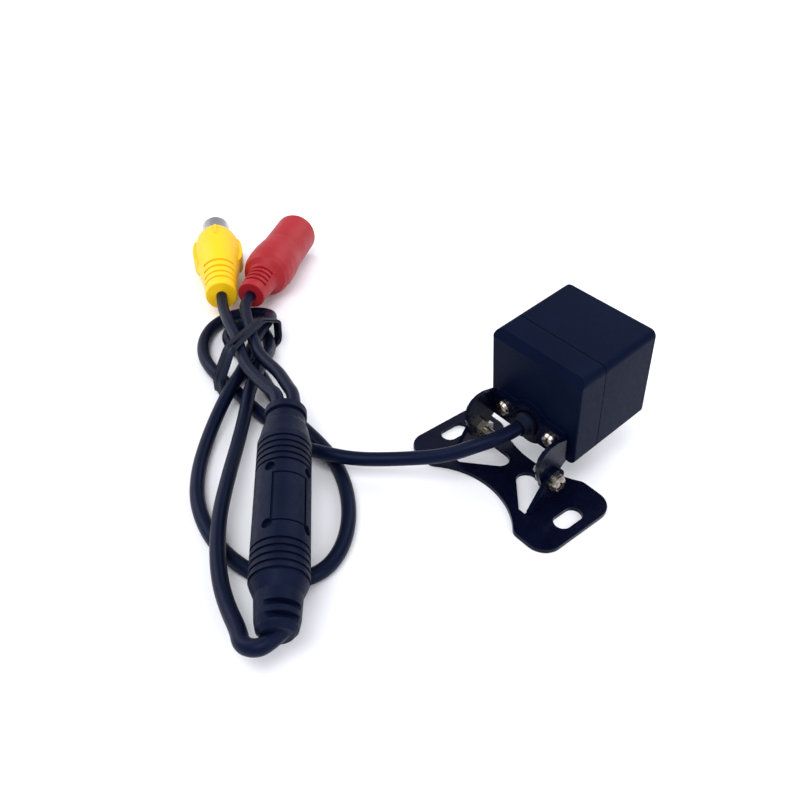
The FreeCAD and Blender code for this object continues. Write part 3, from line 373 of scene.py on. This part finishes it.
TILT = math.radians(8.0)
PIVOT = Vector((0, -0.6, 7.3))
MODULE_TOP = Vector((35.9, 34.9, 13.0))
MODULE_TAIL = Vector((-8.1, 66.4, 8.3))
RCA_NEAR = Vector((94.0, 17.8, 7.3))
RCA_FAR = Vector((130.0, -1.1, 7.3))
DC_NEAR = Vector((88.7, 11.7, 7.8))
DC_FAR = Vector((115.1, -22.4, 6.5))
MODULE_AXIS = (MODULE_TAIL - MODULE_TOP).normalized()
RCA_AXIS = (RCA_FAR - RCA_NEAR).normalized()
DC_AXIS = (DC_FAR - DC_NEAR).normalized()


def in_case(along, up):
    """A point in the middle plane of the tilted case, counted from the pivot."""
    return PIVOT + Matrix.Rotation(-TILT, 3, "X") @ Vector((0, along, up))


CAMERA_CORD = [in_case(-9.0, 6.0), in_case(1.2, 6.0)] + [Vector(p) for p in (
    (2.6, 8.0, 12.0), (6.6, 13.4, 8.9), (13.6, 19.3, 6.2), (20.6, 27.2, 5.4),
    (27.2, 31.8, 5.2), (34.5, 32.8, 2.4), (43.0, 32.6, 1.8), (52.0, 33.6, 1.8),
    (61.0, 33.7, 2.3), (70.0, 34.3, 2.4), (78.5, 32.9, 1.9), (85.6, 29.0, 1.8),
    (90.4, 23.0, 1.8), (91.6, 15.8, 1.7), (88.2, 9.6, 1.7), (82.4, 9.0, 3.4),
    (77.9, 13.0, 6.0), (74.4, 18.6, 5.8), (68.6, 24.4, 5.7), (63.0, 30.2, 5.7),
    (58.8, 36.2, 5.6), (54.4, 42.6, 3.4), (49.0, 48.8, 1.8), (42.4, 54.4, 1.8),
    (35.0, 59.0, 1.8), (26.6, 61.6, 1.8), (18.0, 62.0, 1.8), (9.8, 60.0, 1.7),
    (4.2, 55.6, 1.7), (2.4, 49.2, 1.7), (4.9, 42.8, 1.7), (10.4, 36.8, 1.7),
    (17.8, 32.0, 1.7), (26.2, 28.9, 1.7), (35.2, 28.0, 1.7), (44.4, 28.2, 1.7),
    (53.6, 27.4, 1.7), (61.8, 25.2, 1.9), (69.8, 24.6, 2.4), (76.8, 25.0, 2.4),
    (82.2, 23.8, 2.4), (85.0, 20.4, 2.4), (84.2, 16.2, 2.4), (80.2, 14.0, 2.4),
    (75.0, 15.2, 2.4), (69.8, 18.0, 2.7), (65.2, 22.0, 4.9), (60.8, 27.2, 5.7),
    (55.6, 32.8, 5.7), (49.8, 37.6, 4.5), (42.9, 43.6, 4.1), (33.9, 51.3, 5.2),
    (25.1, 58.7, 5.4), (17.6, 63.6, 5.3), (10.6, 67.1, 5.1), (4.3, 69.1, 5.3),
    (-1.5, 70.3, 6.1), (-4.7, 71.6, 6.8), (-7.1, 70.8, 7.5), (-8.4, 68.7, 8.0),
)] + [MODULE_TAIL + Vector((0.47, -2.25, 0.15))]


def lead_start(offset):
    """Where a lead leaves the collar's end face, beside the moulding's axis."""
    across = -Vector((0, 0, 1)).cross(MODULE_AXIS).normalized()
    return MODULE_TOP + across * offset


VIDEO_LEAD = [lead_start(1.75), lead_start(1.75) - MODULE_AXIS * 5.0] + [Vector(p) for p in (
    (46.2, 32.9, 12.0), (52.8, 31.9, 10.4), (59.4, 30.8, 9.3), (65.4, 28.8, 9.2),
    (71.4, 26.4, 9.2), (77.8, 24.6, 8.8), (83.8, 22.4, 8.0),
)] + [RCA_NEAR - RCA_AXIS * 5.5, RCA_NEAR]

POWER_LEAD = [lead_start(-1.75), lead_start(-1.75) - MODULE_AXIS * 5.0] + [Vector(p) for p in (
    (44.6, 28.9, 12.0), (51.2, 26.9, 10.8), (57.8, 26.2, 9.7), (63.6, 25.2, 9.2),
    (69.2, 23.0, 9.2), (74.8, 20.8, 9.1), (80.4, 18.2, 8.6),
)] + [DC_NEAR - DC_AXIS * 5.0, DC_NEAR]


def route_curve(name, points):
    """A smooth curve whose control points are the route's points."""
    data = bpy.data.curves.new(name, "CURVE")
    data.dimensions = "3D"
    spline = data.splines.new("NURBS")
    spline.points.add(len(points) - 1)
    for knot, point in zip(spline.points, points):
        knot.co = (*(point * MM), 1)
    spline.order_u = 3
    spline.use_endpoint_u = True
    data.resolution_u = 10
    obj = bpy.data.objects.new(name, data)
    bpy.context.scene.collection.objects.link(obj)
    return obj


def route_points(name, points):
    """Points read along the route's smooth curve."""
    guide = route_curve(name + "_guide", points)
    bpy.context.view_layer.update()
    line = bpy.data.meshes.new_from_object(guide)
    found = [v.co.copy() for v in line.vertices]
    bpy.data.objects.remove(guide)
    return found


def tube(name, path, radius, sides=20):
    """A mesh tube along a path, its rings carried along without twisting."""
    mesh = bmesh.new()
    rings = []
    normal = None
    for index, point in enumerate(path):
        before = path[max(index - 1, 0)]
        after = path[min(index + 1, len(path) - 1)]
        tangent = (after - before).normalized()
        if normal is None:
            normal = tangent.orthogonal().normalized()
        normal = (normal - tangent * normal.dot(tangent)).normalized()
        side = tangent.cross(normal)
        ring = []
        for step in range(sides):
            angle = math.tau * step / sides
            spoke = normal * math.cos(angle) + side * math.sin(angle)
            ring.append(mesh.verts.new(point + spoke * radius))
        rings.append(ring)
    for first, second in zip(rings, rings[1:]):
        for step in range(sides):
            following = (step + 1) % sides
            mesh.faces.new((first[step], first[following], second[following], second[step]))
    mesh.faces.new(list(reversed(rings[0])))
    mesh.faces.new(rings[-1])
    bmesh.ops.recalc_face_normals(mesh, faces=mesh.faces)
    data = bpy.data.meshes.new(name)
    mesh.to_mesh(data)
    mesh.free()
    for face in data.polygons:
        face.use_smooth = len(face.vertices) == 4
    obj = bpy.data.objects.new(name, data)
    bpy.context.scene.collection.objects.link(obj)
    return obj


def camera_cord():
    """One tube from the boards to the moulding, which bends where the case tilts."""
    path = route_points("camera_cord", CAMERA_CORD)
    obj = tube("camera_cord_skin", path, CORD_RADIUS)
    dress(obj, "cord")
    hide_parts("camera_cord", "camera_cord_stub")
    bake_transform(obj)


def plug_lead(name, points):
    """A short lead from the moulding's collar to its plug."""
    path = route_points(name, points)
    obj = tube(name + "_skin", path, LEAD_RADIUS)
    dress(obj, "cord")
    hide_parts(name)
    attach(obj, "base")


# ---------------------------------------------------------------- cable tie


def corner_rounded(corners, radius, steps=5):
    """A closed outline with each corner turned through a small arc."""
    rounded = []
    for before, corner, after in zip(corners[-1:] + corners[:-1], corners, corners[1:] + corners[:1]):
        arriving = (corner - before).normalized()
        leaving = (after - corner).normalized()
        first = corner - arriving * radius
        last = corner + leaving * radius
        for step in range(steps + 1):
            share = step / steps
            rounded.append(
                first * (1 - share) ** 2 + corner * 2 * share * (1 - share) + last * share ** 2
            )
    return rounded


# A turn is drawn in its own upright plane, so a corner is (along, up), and its ribbon's section is
# (across, depth inwards): flat, with a small bulge outwards over the wire.
TIE_WIDTH = 2.2
TIE_THICK = 0.6
TIE_CORNER = 1.2
RIBBON_THICK = 0.2
RIBBON_INSET = 0.25
WIRE_BULGE = [(0.75, 0), (0.9, -0.12), (1.1, -0.18), (1.3, -0.12), (1.45, 0)]
TIE_INSIDE = [(0.8, 0.6), (27.8, 0.6), (27.8, 6.4), (20.5, 10.9), (6.4, 10.9), (0.8, 5.2)]
TIE_WRAPS = ((Vector((63.5, 37.5, 0)), -63), (Vector((65.5, 37.5, 0)), -66))


def tie_wrap(name, start, heading):
    """One turn of a flat ribbon with a wire down its middle."""
    angle = math.radians(heading)
    along = Vector((math.cos(angle), math.sin(angle), 0))
    across = Vector((math.sin(angle), -math.cos(angle), 0))
    inner = corner_rounded([Vector((*c, 0)) for c in TIE_INSIDE], TIE_CORNER)
    section = [(0, 0)] + WIRE_BULGE + [(TIE_WIDTH, 0), (TIE_WIDTH, RIBBON_THICK), (0, RIBBON_THICK)]
    mesh = bmesh.new()
    rings = []
    count = len(inner)
    for index in range(count):
        tangent = (inner[(index + 1) % count] - inner[index - 1]).normalized()
        outward = Vector((tangent.y, -tangent.x, 0))
        ring = []
        for sideways, depth in section:
            spot = inner[index] + outward * (TIE_THICK - RIBBON_INSET - depth)
            level = start + along * spot.x + across * sideways
            ring.append(mesh.verts.new((level + Vector((0, 0, spot.y))) * MM))
        rings.append(ring)
    for first, second in zip(rings, rings[1:] + rings[:1]):
        for step in range(len(section)):
            following = (step + 1) % len(section)
            mesh.faces.new((first[step], first[following], second[following], second[step]))
    bmesh.ops.recalc_face_normals(mesh, faces=mesh.faces)
    data = bpy.data.meshes.new(name)
    mesh.to_mesh(data)
    mesh.free()
    for face in data.polygons:
        face.use_smooth = True
    obj = bpy.data.objects.new(name, data)
    bpy.context.scene.collection.objects.link(obj)
    dress(obj, "tie")
    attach(obj, "base")
    return obj


def cable_tie():
    """Both turns of the tie, the first of which replaces the CAD piece."""
    for number, (start, heading) in enumerate(TIE_WRAPS):
        wrap = tie_wrap(f"tie_wrap_{number}", start, heading)
        if number == 0:
            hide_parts("cable_tie")


# ---------------------------------------------------------------- the whole scene

photo_camera()
dress_cad()
camera_cord()
plug_lead("video_lead", VIDEO_LEAD)
plug_lead("power_lead", POWER_LEAD)
cable_tie()
floor()
light()
